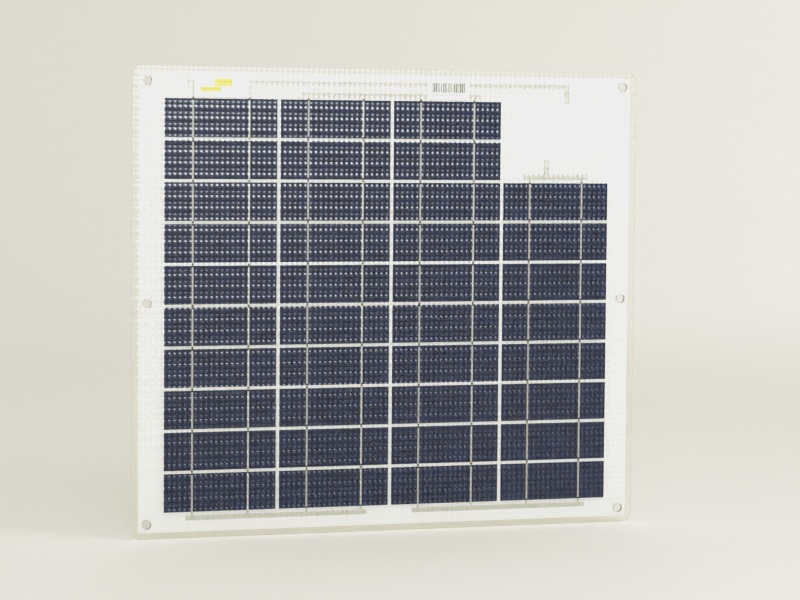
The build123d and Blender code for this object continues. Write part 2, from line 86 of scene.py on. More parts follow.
# Embossing of the front sheet: rows of large and small nubs in turn.
NUB_PITCH_X = 5.84 * MM
NUB_PITCH_Z = 12.125 * MM
NUB_START = (-249.1 * MM, 210.85 * MM)
LARGE_NUB = {"slope": 13.1, "half_x": 2.88 * MM, "half_z": 2.93 * MM, "shift": 0.0, "ring": 8}
SMALL_NUB = {"slope": 9.0, "half_x": 2.15 * MM, "half_z": 2.20 * MM, "shift": -6.60 * MM, "ring": 6}
STEEPEST = 0.77  # where a nub is steepest, as a share of its half width
EDGE_STEP = 1.45 * MM  # spacing of the points along the embossed sheet's edge
EDGE_CLEAR = 0.4 * MM  # nub points closer than this to an edge or hole are left out
LABEL_SHARE = 0.3  # how much of the embossing is left over the labels


# ---------------------------------------------------------------- small mesh helpers

def make_object(name, verts, faces, materials, smooth=False):
    """A new mesh object made of plain lists."""
    mesh = bpy.data.meshes.new(name)
    mesh.from_pydata(verts, [], faces)
    mesh.validate()
    for material in materials:
        mesh.materials.append(material)
    if smooth:
        mesh.shade_smooth()
    made = bpy.data.objects.new(name, mesh)
    bpy.context.scene.collection.objects.link(made)
    return made


def rounded_rectangle(low, high, radius, step=50 * MM):
    """Points of a rounded rectangle in x and z, with points about every step along its straight sides."""
    points = []
    arc_steps = 10
    corners = [
        (high.x - radius, high.z - radius, 0),
        (low.x + radius, high.z - radius, 90),
        (low.x + radius, low.z + radius, 180),
        (high.x - radius, low.z + radius, 270),
    ]
    for index, (cx, cz, start) in enumerate(corners):
        for k in range(arc_steps + 1):
            angle = math.radians(start + 90 * k / arc_steps)
            points.append((cx + radius * math.cos(angle), cz + radius * math.sin(angle)))
        nx, nz, after = corners[(index + 1) % 4]
        turn = math.radians(after)
        end = (nx + radius * math.cos(turn), nz + radius * math.sin(turn))
        begin = points[-1]
        length = math.dist(begin, end)
        count = max(1, round(length / step))
        for k in range(1, count):
            share = k / count
            points.append((begin[0] + (end[0] - begin[0]) * share, begin[1] + (end[1] - begin[1]) * share))
    return points


def hole_centres():
    """The six screw holes: at the corners and halfway up each short side."""
    x = SHEET_HIGH.x - HOLE_INSET
    z = SHEET_HIGH.z - HOLE_INSET
    return [(sx * x, sz * z) for sx in (-1, 1) for sz in (-1, 0, 1)]


def hole_loops():
    """Points round each screw hole in x and z."""
    turns = [2 * math.pi * k / HOLE_POINTS for k in range(HOLE_POINTS)]
    return [[(x + HOLE_RADIUS * math.cos(a), z + HOLE_RADIUS * math.sin(a)) for a in turns]
            for x, z in hole_centres()]


def triangulate(outer, holes, extra=()):
    """Triangles that fill outer and leave the holes open. The loops come first among the vertices."""
    loops = [outer, *holes]
    points = [p for loop in loops for p in loop] + list(extra)
    edges, start = [], 0
    for loop in loops:
        n = len(loop)
        edges += [(start + k, start + (k + 1) % n) for k in range(n)]
        start += n
    verts, _, faces, _, _, _ = delaunay_2d_cdt([Vector(p) for p in points], edges, [], 0, 1e-7, False)
    verts = np.array([tuple(v) for v in verts])
    faces = np.array(faces)
    middle = verts[faces].mean(axis=1)
    keep = inside(middle, outer)
    for hole in holes:
        keep &= ~inside(middle, hole)
    return verts, faces[keep]


def inside(points, loop):
    """Which points lie inside a closed loop, by counting the edges that a ray crosses."""
    found = np.zeros(len(points), bool)
    x, z = points[:, 0], points[:, 1]
    for (x0, z0), (x1, z1) in zip(loop, loop[1:] + loop[:1]):
        if z0 == z1:
            continue
        crosses = (z0 > z) != (z1 > z)
        found ^= crosses & (x < x0 + (z - z0) * (x1 - x0) / (z1 - z0))
    return found


class Shell:
    """Collects faces of a closed clear layer, with one material index for each face."""

    def __init__(self):
        self.verts, self.faces, self.slots, self.count = [], [], [], 0

    def plate(self, outer, holes, y, slot):
        points, faces = triangulate(outer, holes)
        self.add(np.column_stack([points[:, 0], np.full(len(points), y), points[:, 1]]), faces, slot)

    def wall(self, loop, y_front, y_back, slot):
        """Joins two levels along a loop. Each level is one number, or a number for each point."""
        n = len(loop)
        x, z = np.array(loop).T
        front, back = (np.column_stack([x, np.broadcast_to(y, n), z]) for y in (y_front, y_back))
        quads = [(k, (k + 1) % n, n + (k + 1) % n, n + k) for k in range(n)]
        self.add(np.vstack([front, back]), quads, slot)

    def add(self, verts, faces, slot):
        self.verts += [tuple(v) for v in verts]
        self.faces += [tuple(int(i) + self.count for i in f) for f in faces]
        self.slots += [slot] * len(faces)
        self.count += len(verts)

    def build(self, name, materials):
        made = make_object(name, self.verts, self.faces, materials)
        made.data.polygons.foreach_set("material_index", self.slots)
        weld(made)
        return made


def weld(made):
    """Joins the vertices that the parts of a shell share."""
    bm = bmesh.new()
    bm.from_mesh(made.data)
    bmesh.ops.remove_doubles(bm, verts=bm.verts, dist=1e-6)
    bmesh.ops.recalc_face_normals(bm, faces=bm.faces)
    bm.to_mesh(made.data)
    bm.free()


# ---------------------------------------------------------------- node tree helpers

class Tree:
    """A short way to write a material's nodes. Sizes are in metres, in the part's own frame."""

    def __init__(self, name):
        self.material = bpy.data.materials.new(name)
        self.material.use_nodes = True
        self.nodes = self.material.node_tree.nodes
        self.links = self.material.node_tree.links
        self.nodes.clear()
        self.out = self.nodes.new("ShaderNodeOutputMaterial")
        self.place = self.nodes.new("ShaderNodeTexCoord").outputs["Object"]

    def set(self, socket, value):
        if isinstance(value, bpy.types.NodeSocket):
            self.links.new(value, socket)
        elif isinstance(value, tuple) and len(value) == 3 and socket.type == "RGBA":
            socket.default_value = (*value, 1.0)
        else:
            socket.default_value = value

    def node(self, kind, output=0, **inputs):
        made = self.nodes.new(kind)
        for key, value in inputs.items():
            socket = key.replace("_", " ")
            if socket in made.inputs:
                self.set(made.inputs[socket], value)
            else:
                setattr(made, key, value)
        return made.outputs[output]

    def stretched(self, x=1.0, y=1.0, z=1.0):
        """Coordinates scaled along each axis, for a grain that runs one way."""
        made = self.nodes.new("ShaderNodeMapping")
        self.links.new(self.place, made.inputs["Vector"])
        made.inputs["Scale"].default_value = (x, y, z)
        return made.outputs[0]

    def noise(self, scale, detail=3.0, roughness=0.55, vector=None):
        return self.node("ShaderNodeTexNoise", Vector=vector or self.place, Scale=scale,
                         Detail=detail, Roughness=roughness)

    def span(self, value, low, high, to_low, to_high):
        """A value stretched from one span to another, clamped at both ends."""
        made = self.nodes.new("ShaderNodeMapRange")
        made.clamp = True
        self.set(made.inputs["Value"], value)
        for key, number in (("From Min", low), ("From Max", high), ("To Min", to_low), ("To Max", to_high)):
            made.inputs[key].default_value = number
        return made.outputs[0]

    def blend(self, share, first, second):
        """A colour between two colours."""
        made = self.nodes.new("ShaderNodeMix")
        made.data_type = "RGBA"
        factor, first_colour, second_colour = (made.inputs[k] for k in (0, 6, 7))
        self.set(factor, share)
        self.set(first_colour, first)
        self.set(second_colour, second)
        return made.outputs[2]

    def math(self, operation, *values):
        made = self.nodes.new("ShaderNodeMath")
        made.operation = operation
        for socket, value in zip(made.inputs, values):
            self.set(socket, value)
        return made.outputs[0]

    def bump(self, height, distance, strength=1.0):
        return self.node("ShaderNodeBump", Height=height, Distance=distance, Strength=strength)

    def mix(self, share, first, second):
        made = self.nodes.new("ShaderNodeMixShader")
        self.set(made.inputs[0], share)
        self.links.new(first, made.inputs[1])
        self.links.new(second, made.inputs[2])
        return made.outputs[0]

    def plain(self, **inputs):
        return self.node("ShaderNodeBsdfPrincipled", **inputs)

    def finish(self, shader):
        self.links.new(shader, self.out.inputs["Surface"])
        return self.material


# ---------------------------------------------------------------- materials

CLEAR_TINT = (0.995, 0.995, 0.99)
MILK = (0.86, 0.85, 0.80)


def ripple(t, value, start, pitch):
    """A wave from 0 to 1 with a crest at start and one every pitch from there."""
    turn = t.math("MULTIPLY", t.math("SUBTRACT", value, start), 2 * math.pi / pitch)
    return t.math("MULTIPLY_ADD", t.math("COSINE", turn), 0.5, 0.5)


def embossed_plastic():
    """The outer face of the clear front sheet: glossy and faintly dusty, with a painted highlight on the nubs'
    crests and painted shade in their valleys.
    """
    t = Tree("embossed_clear")
    grain = t.noise(900, 4)
    dust = t.noise(35, 5, 0.7)
    x, z = (t.node("ShaderNodeSeparateXYZ", output=k, Vector=t.place) for k in (0, 2))
    crest = t.math("MULTIPLY", ripple(t, x, NUB_START[0], NUB_PITCH_X),
                   ripple(t, z, NUB_START[1], NUB_PITCH_Z / 2))
    normal = t.bump(grain, 0.004 * MM, 0.5)
    rough = t.span(grain, 0.3, 0.7, 0.29, 0.32)
    shine = t.node("ShaderNodeBsdfGlossy", Color=(1.0, 1.0, 1.0), Roughness=rough, Normal=normal,
                   distribution="BECKMANN")
    milk = t.node("ShaderNodeBsdfDiffuse", Color=MILK)
    # Painted shade: the see-through tint is darker in the valleys between the nubs than on their crests.
    see = t.node("ShaderNodeBsdfTransparent", Color=t.blend(crest, (0.95, 0.953, 0.942), (1.0, 1.0, 1.0)))
    # Painted highlight: white haze added on the nubs' crests, a little uneven with the grain.
    painted_crest_highlight = t.math("MULTIPLY", crest, t.span(grain, 0.3, 0.7, 0.035, 0.055))
    body = t.mix(t.math("ADD", painted_crest_highlight, t.span(dust, 0.3, 0.75, 0.0, 0.002)), see, milk)
    fresnel = t.node("ShaderNodeFresnel", IOR=1.4, Normal=normal)
    return t.finish(t.mix(fresnel, body, shine))


def clear_plastic(name, low_milk, high_milk, tint=CLEAR_TINT):
    """Clear film or sheet seen flat on, with a trace of haze."""
    t = Tree(name)
    haze = t.noise(60, 4, 0.6)
    milk = t.node("ShaderNodeBsdfDiffuse", Color=MILK)
    see = t.node("ShaderNodeBsdfTransparent", Color=tint)
    return t.finish(t.mix(t.span(haze, 0.3, 0.7, low_milk, high_milk), see, milk))


def drilled_edge():
    """The wall of a drilled hole: plastic with turning marks, coloured dark as painted shade inside the hole."""
    t = Tree("drilled_edge")
    marks = t.noise(1500, 4, 0.7, t.stretched(0.3, 2.0, 0.3))
    colour = t.blend(t.span(marks, 0.3, 0.7, 0, 1), (0.10, 0.09, 0.06), (0.24, 0.22, 0.16))
    return t.finish(t.plain(Base_Color=colour, Roughness=0.6, Normal=t.bump(marks, 0.05 * MM, 0.5)))


def clear_back_face():
    """The outer face of the back sheet: a smooth satin film."""
    t = Tree("satin_clear")
    grain = t.noise(1400, 3)
    normal = t.bump(grain, 0.003 * MM, 0.6)
    shine = t.node("ShaderNodeBsdfGlossy", Color=(1.0, 1.0, 1.0), Normal=normal,
                   Roughness=t.span(grain, 0.3, 0.7, 0.28, 0.4))
    milk = t.node("ShaderNodeBsdfDiffuse", Color=MILK)
    see = t.node("ShaderNodeBsdfTransparent", Color=CLEAR_TINT)
    body = t.mix(t.span(t.noise(40, 5, 0.65), 0.3, 0.7, 0.05, 0.075), see, milk)
    return t.finish(t.mix(t.node("ShaderNodeFresnel", IOR=1.45, Normal=normal), body, shine))


def near_hole(t, reach):
    """1 within reach of a screw hole's axis. Folding x once and z twice brings all six holes together."""
    x, z = (t.node("ShaderNodeSeparateXYZ", output=k, Vector=t.place) for k in (0, 2))
    hole_x, hole_z = SHEET_HIGH.x - HOLE_INSET, SHEET_HIGH.z - HOLE_INSET
    across = t.math("SUBTRACT", t.math("ABSOLUTE", x), hole_x)
    fold = t.math("ABSOLUTE", t.math("SUBTRACT", t.math("ABSOLUTE", z), hole_z / 2))
    up = t.math("SUBTRACT", fold, hole_z / 2)
    squared = t.math("ADD", t.math("MULTIPLY", across, across), t.math("MULTIPLY", up, up))
    return t.math("LESS_THAN", squared, reach * reach)


def board_white():
    """White backing board: satin, with a faint mottle, a fine weave of glass fibre and painted shade on its
    drilled edges.
    """
    t = Tree("white_board_finish")
    mottle = t.noise(14, 5, 0.6)
    weave = t.noise(1800, 2)
    colour = t.blend(t.span(mottle, 0.3, 0.7, 0, 1), (0.868, 0.876, 0.858), (0.90, 0.908, 0.892))
    # Painted shade: the board's cut edges round the screw holes are coloured dark.
    colour = t.blend(near_hole(t, HOLE_RADIUS + 0.08 * MM), colour, (0.16, 0.145, 0.10))
    return t.finish(t.plain(
        Base_Color=colour, Roughness=t.span(weave, 0.3, 0.7, 0.42, 0.6),
        Normal=t.bump(weave, 0.01 * MM, 0.35), Specular_IOR_Level=0.1))


def silicon_cell():
    """Multicrystalline silicon under a dark blue coating: crystal grains of slightly different depth."""
    t = Tree("silicon_cell")
    grains = t.node("ShaderNodeTexVoronoi", output=1, Vector=t.stretched(1.0, 0.2, 1.0), Scale=95.0)
    level = t.node("ShaderNodeSeparateColor", Color=grains)
    drift = t.noise(9, 4, 0.6)
    streaks = t.noise(60, 3, 0.6, t.stretched(0.25, 1.0, 7.0))
    share = t.math("ADD", t.math("MULTIPLY", level, 0.35), t.math("MULTIPLY", streaks, 0.65))
    colour = t.blend(t.span(share, 0.3, 0.7, 0, 1), (0.0010, 0.0085, 0.0410), (0.0050, 0.0180, 0.0850))
    colour = t.blend(t.span(drift, 0.35, 0.65, 0, 0.35), colour, (0.002, 0.0125, 0.059))
    return t.finish(t.plain(
        Base_Color=colour, Roughness=t.span(level, 0, 1, 0.34, 0.46), Specular_IOR_Level=0.03,
        Normal=t.bump(t.noise(2500, 2), 0.004 * MM, 0.4)))


def silver_print():
    """Screen-printed silver paste of the cell fingers."""
    t = Tree("silver_print")
    paste = t.noise(3000, 3)
    colour = t.blend(t.span(paste, 0.3, 0.7, 0, 1), (0.055, 0.075, 0.13), (0.12, 0.14, 0.21))
    return t.finish(t.plain(Base_Color=colour, Metallic=0.4, Roughness=0.5,
                            Normal=t.bump(paste, 0.01 * MM, 0.5)))


def tinned_copper():
    """Tinned ribbon: soft metal with rolling marks and slight waviness."""
    t = Tree("tinned_copper")
    rolled = t.noise(700, 3, 0.6, t.stretched(1.0, 1.0, 0.12))
    waves = t.noise(90, 3, 0.5)
    colour = t.blend(t.span(waves, 0.3, 0.7, 0, 1), (0.485, 0.486, 0.437), (0.545, 0.546, 0.497))
    return t.finish(t.plain(
        Base_Color=colour, Metallic=0.1, Roughness=t.span(rolled, 0.3, 0.7, 0.5, 0.65),
        Normal=t.bump(t.math("ADD", rolled, waves), 0.02 * MM, 0.35)))


def painted_bend_reflection():
    """Painted dark reflection of a ribbon's crimped bend between two cells: dark and glossy."""
    t = Tree("painted_bend_reflection")
    spot_tone = t.noise(1600, 4, 0.6)
    colour = t.blend(t.span(spot_tone, 0.35, 0.65, 0, 1), (0.020, 0.017, 0.006), (0.075, 0.060, 0.022))
    return t.finish(t.plain(Base_Color=colour, Roughness=t.span(spot_tone, 0.3, 0.7, 0.3, 0.5),
                            Normal=t.bump(spot_tone, 0.05 * MM, 0.5)))


def label_white(name, low, high):
    """Thin white film laid into the laminate."""
    t = Tree(name)
    fibre = t.noise(1200, 3)
    tone = t.noise(30, 4)
    return t.finish(t.plain(Base_Color=t.blend(t.span(tone, 0.3, 0.7, 0, 1), low, high),
                            Roughness=t.span(fibre, 0.3, 0.7, 0.5, 0.65),
                            Normal=t.bump(fibre, 0.006 * MM, 0.4)))


def ink(name, pale, deep, spots=2400):
    """Printed ink: not quite even, with tiny pinholes."""
    t = Tree(name)
    cover = t.noise(spots, 3, 0.6)
    return t.finish(t.plain(Base_Color=t.blend(t.span(cover, 0.3, 0.6, 0, 1), pale, deep),
                            Roughness=t.span(cover, 0.3, 0.7, 0.45, 0.6)))


def moulded_plastic(name, dark, pale, grain, depth, rough):
    """Injection-moulded plastic: spark-eroded grain, soft scuffs and slightly paler worn patches."""
    t = Tree(name)
    pits = t.noise(grain, 3, 0.6)
    flow = t.noise(45, 4, 0.6)
    scuffs = t.noise(320, 5, 0.75, t.stretched(0.18, 1.0, 1.0))
    worn = t.math("MULTIPLY", t.span(scuffs, 0.6, 0.78, 0, 1), t.span(flow, 0.4, 0.7, 0.2, 1))
    colour = t.blend(t.math("ADD", t.math("MULTIPLY", worn, 0.5), t.span(flow, 0.3, 0.7, 0, 0.5)), dark, pale)
    return t.finish(t.plain(
        Base_Color=colour, Roughness=t.span(t.math("ADD", pits, worn), 0.3, 1.3, rough - 0.08, rough + 0.14),
        Normal=t.bump(pits, depth, 0.6), Specular_IOR_Level=0.45))


def rubber(name, dark, pale):
    t = Tree(name)
    bloom = t.noise(260, 5, 0.65)
    skin = t.noise(4200, 3)
    return t.finish(t.plain(
        Base_Color=t.blend(t.span(bloom, 0.35, 0.7, 0, 1), dark, pale),
        Roughness=t.span(skin, 0.3, 0.7, 0.62, 0.82), Normal=t.bump(skin, 0.015 * MM, 0.5),
        Sheen_Weight=0.08, Sheen_Roughness=0.5, Specular_IOR_Level=0.3))


def foam():
    """Closed-cell adhesive foam: small open pores on the cut edge."""
    t = Tree("bond_foam_finish")
    pores = t.node("ShaderNodeTexVoronoi", Vector=t.place, Scale=1500.0)
    tone = t.noise(500, 4)
    return t.finish(t.plain(
        Base_Color=t.blend(t.span(tone, 0.3, 0.7, 0, 1), (0.055, 0.055, 0.058), (0.11, 0.11, 0.112)),
        Roughness=0.85, Normal=t.bump(pores, 0.15 * MM, 0.7), Specular_IOR_Level=0.2))


def metal(name, dark, pale, rough, along):
    """Bright metal with drawing or turning marks that run along one axis, and a thin tarnish."""
    t = Tree(name)
    lines = t.noise(900, 4, 0.65, t.stretched(*along))
    tarnish = t.noise(120, 5, 0.65)
    colour = t.blend(t.span(tarnish, 0.35, 0.7, 0, 1), pale, dark)
    return t.finish(t.plain(
        Base_Color=colour, Metallic=1.0,
        Roughness=t.span(t.math("ADD", lines, tarnish), 0.6, 1.4, rough, rough + 0.16),
        Normal=t.bump(lines, 0.008 * MM, 0.5)))


def diode_epoxy(low, high):
    """Black moulded body with the pale cathode band near one end."""
    t = Tree("diode_epoxy")
    where = t.node("ShaderNodeSeparateXYZ", output=2, Vector=t.place)
    length = high.z - low.z
    band = t.math("COMPARE", where, low.z + 0.72 * length, 0.035 * length)
    fine = t.noise(2600, 3)
    black = t.blend(t.span(fine, 0.3, 0.7, 0, 1), (0.012, 0.012, 0.013), (0.024, 0.024, 0.026))
    return t.finish(t.plain(Base_Color=t.blend(band, black, (0.55, 0.55, 0.54)),
                            Roughness=t.span(fine, 0.3, 0.7, 0.3, 0.42),
                            Normal=t.bump(fine, 0.01 * MM, 0.4)))


def backdrop_paper():
    t = Tree("backdrop_paper")
    tone = t.noise(1.2, 3, 0.5)
    fibre = t.noise(700, 3)
    colour = t.blend(t.span(tone, 0.3, 0.7, 0, 1), (0.79, 0.776, 0.712), (0.80, 0.786, 0.722))
    return t.finish(t.plain(Base_Color=colour, Roughness=0.9, Normal=t.bump(fibre, 0.02 * MM, 0.2),
                            Specular_IOR_Level=0.1))


# ---------------------------------------------------------------- embossed front sheet

def nub_rows():
    """Every row of nubs on the sheet as (z, nub), from the bottom up."""
    rows = []
    for nub in (LARGE_NUB, SMALL_NUB):
        start = NUB_START[1] + nub["shift"]
        first = math.ceil((SHEET_LOW.z - start) / NUB_PITCH_Z)
        last = math.floor((SHEET_HIGH.z - start) / NUB_PITCH_Z)
        rows += [(start + k * NUB_PITCH_Z, nub) for k in range(first, last + 1)]
    return sorted(rows, key=lambda row: row[0])


def nub_columns():
    first = math.ceil((SHEET_LOW.x - NUB_START[0]) / NUB_PITCH_X)
    last = math.floor((SHEET_HIGH.x - NUB_START[0]) / NUB_PITCH_X)
    return [NUB_START[0] + k * NUB_PITCH_X for k in range(first, last + 1)]


def nub_height(nub):
    """Height of a nub: its slope rises evenly from the crest and falls evenly to the valley."""
    return nub["half_x"] * math.tan(math.radians(nub["slope"])) / 2


def emboss(x, z):
    """Height of the embossing above its valleys, and its slope along x and z, at arrays of points."""
    height, slope_x, slope_z = np.zeros_like(x), np.zeros_like(x), np.zeros_like(x)
    from_column = x - NUB_START[0] - NUB_PITCH_X * np.round((x - NUB_START[0]) / NUB_PITCH_X)
    for nub in (LARGE_NUB, SMALL_NUB):
        start = NUB_START[1] + nub["shift"]
        from_row = z - start - NUB_PITCH_Z * np.round((z - start) / NUB_PITCH_Z)
        u, v = from_column / nub["half_x"], from_row / nub["half_z"]
        reach = np.minimum(np.sqrt(u * u + v * v), 1.0)
        steep = 2 * nub_height(nub)
        inner = reach < STEEPEST
        fall = np.where(inner, reach / STEEPEST, (1 - reach) / (1 - STEEPEST))
        dome = 1 - reach ** 2 / STEEPEST
        skirt = (1 - reach) ** 2 / (1 - STEEPEST)
        height += steep / 2 * np.where(inner, dome, skirt)
        outward = -steep * fall / np.maximum(reach, 1e-9)
        slope_x += outward * u / nub["half_x"]
        slope_z += outward * v / nub["half_z"]
    share = np.ones_like(x)
    for low, high in LABELS:
        share[(x > low[0]) & (x < high[0]) & (z > low[2]) & (z < high[2])] = LABEL_SHARE
    return height * share, slope_x * share, slope_z * share


def nub_points():
    """Where the sheet is sampled: each nub's crest, a ring on its steepest part, and the valleys."""
    points = []
    rows = nub_rows()
    for index, (z, nub) in enumerate(rows):
        count = nub["ring"]
        above = rows[index + 1][0] if index + 1 < len(rows) else None
        for x in nub_columns():
            points.append((x, z))
            for k in range(count):
                turn = 2 * math.pi * (k + 0.5) / count
                points.append((x + STEEPEST * nub["half_x"] * math.cos(turn),
                               z + STEEPEST * nub["half_z"] * math.sin(turn)))
            points.append((x + NUB_PITCH_X / 2, z))
            if above is not None:
                middle = z + (above - z) * nub["half_z"] / (LARGE_NUB["half_z"] + SMALL_NUB["half_z"])
                points += [(x, middle), (x + NUB_PITCH_X / 2, middle)]
    found = np.array(points)
    keep = np.abs(found[:, 0]) < SHEET_HIGH.x - EDGE_CLEAR
    keep &= np.abs(found[:, 1]) < SHEET_HIGH.z - EDGE_CLEAR
    corner = np.array([SHEET_HIGH.x - CORNER_RADIUS, SHEET_HIGH.z - CORNER_RADIUS])
    past = np.maximum(np.abs(found) - corner, 0)
    keep &= np.hypot(past[:, 0], past[:, 1]) < CORNER_RADIUS - EDGE_CLEAR
    for centre in hole_centres():
        keep &= np.hypot(found[:, 0] - centre[0], found[:, 1] - centre[1]) > HOLE_RADIUS + EDGE_CLEAR
    return [tuple(p) for p in found[keep]]


def embossed_sheet(materials):
    """The clear front sheet with its nubs as real geometry, cut off square at edges and holes."""
    valley_y = CREST_Y + nub_height(LARGE_NUB)
    back_y = SHEET_BACK_Y - AIR
    outer = rounded_rectangle(SHEET_LOW, SHEET_HIGH, CORNER_RADIUS, EDGE_STEP)
    holes = hole_loops()
    points, faces = triangulate(outer, holes, nub_points())
    height = emboss(points[:, 0], points[:, 1])[0]
    shell = Shell()
    shell.add(np.column_stack([points[:, 0], valley_y - height, points[:, 1]]), faces, 0)
    shell.plate(outer, holes, back_y, 1)
    for slot, loop in [(2, outer), *((3, hole) for hole in holes)]:
        rim = np.array(loop)
        shell.wall(loop, valley_y - emboss(rim[:, 0], rim[:, 1])[0], back_y, slot)
    made = shell.build("embossed_sheet", materials)
    shade_by_formula(made)
    return made


def shade_by_formula(made):
    """Gives the embossed face the exact normals of its formula, and keeps the other faces flat."""
    mesh = made.data
    corners = np.zeros(len(mesh.loops), int)
    mesh.loops.foreach_get("vertex_index", corners)
    places = np.zeros(len(mesh.vertices) * 3)
    mesh.vertices.foreach_get("co", places)
    places = places.reshape(-1, 3)[corners]
    _, slope_x, slope_z = emboss(places[:, 0], places[:, 2])
    normals = np.column_stack([-slope_x, -np.ones(len(places)), -slope_z])
    normals /= np.linalg.norm(normals, axis=1)[:, None]
    for polygon in mesh.polygons:
        if polygon.material_index:
            normals[polygon.loop_start:polygon.loop_start + polygon.loop_total] = polygon.normal
    mesh.shade_smooth()
    mesh.normals_split_custom_set(normals.tolist())


# ---------------------------------------------------------------- flat clear layers

def clear_film(materials):
    """The encapsulating film: one body in front of the cells that turns back round the board's edge."""
    outer = rounded_rectangle(FILM_LOW, FILM_HIGH, CORNER_RADIUS)
    gap = Vector((AIR, 0, AIR))
    board = rounded_rectangle(BOARD_LOW - gap, BOARD_HIGH + gap, BOARD_RADIUS)
    holes = hole_loops()
    front, back = FILM_LOW.y + AIR, BOARD_HIGH.y - AIR
    recess = FILM_LOW.y + FILM_BEFORE_BOARD
    shell = Shell()
    shell.plate(outer, holes, front, 0)
    shell.plate(outer, [board], back, 1)
    shell.plate(board, holes, recess, 0)
    shell.wall(outer, front, back, 2)
    shell.wall(board, recess, back, 1)
    for hole in holes:
        shell.wall(hole, front, recess, 3)
    return shell.build("clear_film", materials)


def clear_back_sheet(materials):
    """The clear back sheet."""
    outer = rounded_rectangle(BACK_LOW, BACK_HIGH, CORNER_RADIUS)
    holes = hole_loops()
    shell = Shell()
    front, back = BACK_LOW.y + AIR, BACK_HIGH.y
    shell.plate(outer, holes, front, 1)
    shell.plate(outer, holes, back, 0)
    shell.wall(outer, front, back, 2)
    for hole in holes:
        shell.wall(hole, front, back, 3)
    return shell.build("clear_back_sheet", materials)


# ---------------------------------------------------------------- print on the cells, and painted dark reflections at the ribbon bends

def boxes(name, spans, material):
    """Thin raised strips, each given by its lowest and highest corner."""
    verts, faces = [], []
    for low, high in spans:
        start = len(verts)
        verts += [(x, y, z) for x in (low[0], high[0]) for y in (low[1], high[1]) for z in (low[2], high[2])]
        faces += [tuple(start + i for i in f) for f in
                  ((0, 1, 3, 2), (4, 6, 7, 5), (0, 4, 5, 1), (2, 3, 7, 6), (0, 2, 6, 4), (1, 5, 7, 3))]
    return make_object(name, verts, faces, [material])


def cell_places(low, high):
    """(bottom, top) of each cell in a string, from the top cell down."""
    count = round((high.z - low.z - CELL_HEIGHT) / ROW_PITCH) + 1
    tops = [high.z - k * ROW_PITCH for k in range(count)]
    return [(top - CELL_HEIGHT, top) for top in tops]


def cell_fingers(name, low, high, material):
    """The fine silver lines that a cell's current runs along."""
    count, width, margin, thickness = 19, 0.10 * MM, 1.1 * MM, 0.02 * MM
    spans = []
    for bottom, top in cell_places(low, high):
        step = (top - bottom - 2 * margin) / (count - 1)
        for k in range(count):
            z = bottom + margin + k * step
            spans.append(((low.x + margin, low.y - thickness, z - width / 2),
                          (high.x - margin, low.y + thickness / 2, z + width / 2)))
    return boxes(name, spans, material)


def bead(verts, faces, centre, half_x, half_z, depth, rng):
    """A flat dark spot of painted reflection: a rim on the ribbon and a low crown, a little uneven."""
    count = 12
    start = len(verts)
    for share, lift in ((1.0, 0.0), (0.82, 0.55), (0.45, 0.9)):
        for k in range(count):
            turn = 2 * math.pi * k / count
            wobble = 1 + 0.14 * rng.uniform(-1, 1) * share
            verts.append((centre[0] + half_x * share * wobble * math.cos(turn),
                          centre[1] - depth * lift,
                          centre[2] + half_z * share * wobble * math.sin(turn)))
    verts.append((centre[0], centre[1] - depth, centre[2]))
    for ring in range(2):
        for k in range(count):
            a, b = start + ring * count + k, start + ring * count + (k + 1) % count
            faces.append((a, b, b + count, a + count))
    top = start + 2 * count
    faces += [(top + k, top + (k + 1) % count, top + count) for k in range(count)]
    faces.append(tuple(start + k for k in reversed(range(count))))


def painted_bend_spots(material):
    """Dark spots of painted reflection where each ribbon is crimped: in every gap and above each top cell."""
    rng = random.Random(7)
    verts, faces = [], []
    for low, high in CELLS:
        middle = (low.x + high.x) / 2
        cells = cell_places(low, high)
        gaps = [bottom - (ROW_PITCH - CELL_HEIGHT) / 2 for bottom, _ in cells[:-1]]
        levels = [cells[0][1] + 0.6 * MM, *gaps]
        for side in (-1, 1):
            for z in levels:
                size = rng.uniform(0.85, 1.1)
                place = (middle + side * RIBBON_OFFSET + rng.uniform(-0.1, 0.1) * MM,
                         FILM_LOW.y + 0.4 * MM, z + rng.uniform(-0.5, 0.5) * MM)
                bead(verts, faces, place, 1.1 * size * MM, 1.25 * size * MM, 0.03 * MM, rng)
    return make_object("painted_bend_spots", verts, faces, [material], smooth=True)


def plain_label_print(material):
    """A plain coloured bar and block in place of any mark."""
    low, high = LABELS[0]
    verts, faces = [], []
    width, height = high.x - low.x, high.z - low.z
    blocks = [  # centre across, centre up, half width, half height, as shares of the label
        (0.54, 0.64, 0.165, 0.16),
        (0.30, 0.34, 0.19, 0.09),
    ]
    for across, up, half_x, half_z in blocks:
        cx, cz = low.x + across * width, low.z + up * height
        corner_low = Vector((cx - half_x * width, 0, cz - half_z * height))
        corner_high = Vector((cx + half_x * width, 0, cz + half_z * height))
        loop = rounded_rectangle(corner_low, corner_high, 1.2 * MM)
        start, n = len(verts), len(loop)
        verts += [(x, y, z) for y in (low.y - PRINT_PROUD, low.y + PRINT_SUNK) for x, z in loop]
        faces.append(tuple(start + k for k in range(n)))
        faces.append(tuple(start + n + k for k in reversed(range(n))))
        faces += [(start + (k + 1) % n, start + k, start + n + k, start + n + (k + 1) % n) for k in range(n)]
    return make_object("plain_label_print", verts, faces, [material])


